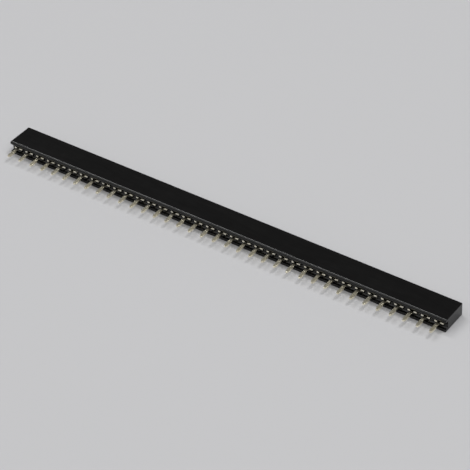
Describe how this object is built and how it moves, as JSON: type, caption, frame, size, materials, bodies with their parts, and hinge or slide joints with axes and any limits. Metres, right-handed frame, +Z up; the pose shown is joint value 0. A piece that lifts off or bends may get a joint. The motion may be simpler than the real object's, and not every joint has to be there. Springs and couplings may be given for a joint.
{
  "type": "female pin header strip",
  "caption": "Low-profile single-row female header strip: a slim black housing with square pin sockets on one long edge and flat solder tails on the other.",
  "frame": {"origin": "middle of the strip in X and of the whole depth, tails included, in Y, on the surface that the strip lies on", "axes": "+X along the row of contacts, +Y towards the mating face with the sockets, -Y towards the circuit board and the tails, +Z up out of the long side it lies on"},
  "size_m": [0.092, 0.0078, 0.0025],
  "materials": {
    "housing_plastic": "semi-matte moulded black, glass-filled",
    "contact_plating": "thin pale gold over stamped brass"
  },
  "bodies": {
    "root": {"housing": "housing_plastic", "contact_01": "contact_plating", "contact_02": "contact_plating", "contact_03": "contact_plating", "contact_04": "contact_plating", "contact_05": "contact_plating", "contact_06": "contact_plating", "contact_07": "contact_plating", "contact_08": "contact_plating", "contact_09": "contact_plating", "contact_10": "contact_plating", "contact_11": "contact_plating", "contact_12": "contact_plating", "contact_13": "contact_plating", "contact_14": "contact_plating", "contact_15": "contact_plating", "contact_16": "contact_plating", "contact_17": "contact_plating", "contact_18": "contact_plating", "contact_19": "contact_plating", "contact_20": "contact_plating", "contact_21": "contact_plating", "contact_22": "contact_plating", "contact_23": "contact_plating", "contact_24": "contact_plating", "contact_25": "contact_plating", "contact_26": "contact_plating", "contact_27": "contact_plating", "contact_28": "contact_plating", "contact_29": "contact_plating", "contact_30": "contact_plating", "contact_31": "contact_plating", "contact_32": "contact_plating", "contact_33": "contact_plating", "contact_34": "contact_plating", "contact_35": "contact_plating", "contact_36": "contact_plating"}
  },
  "joints": []
}
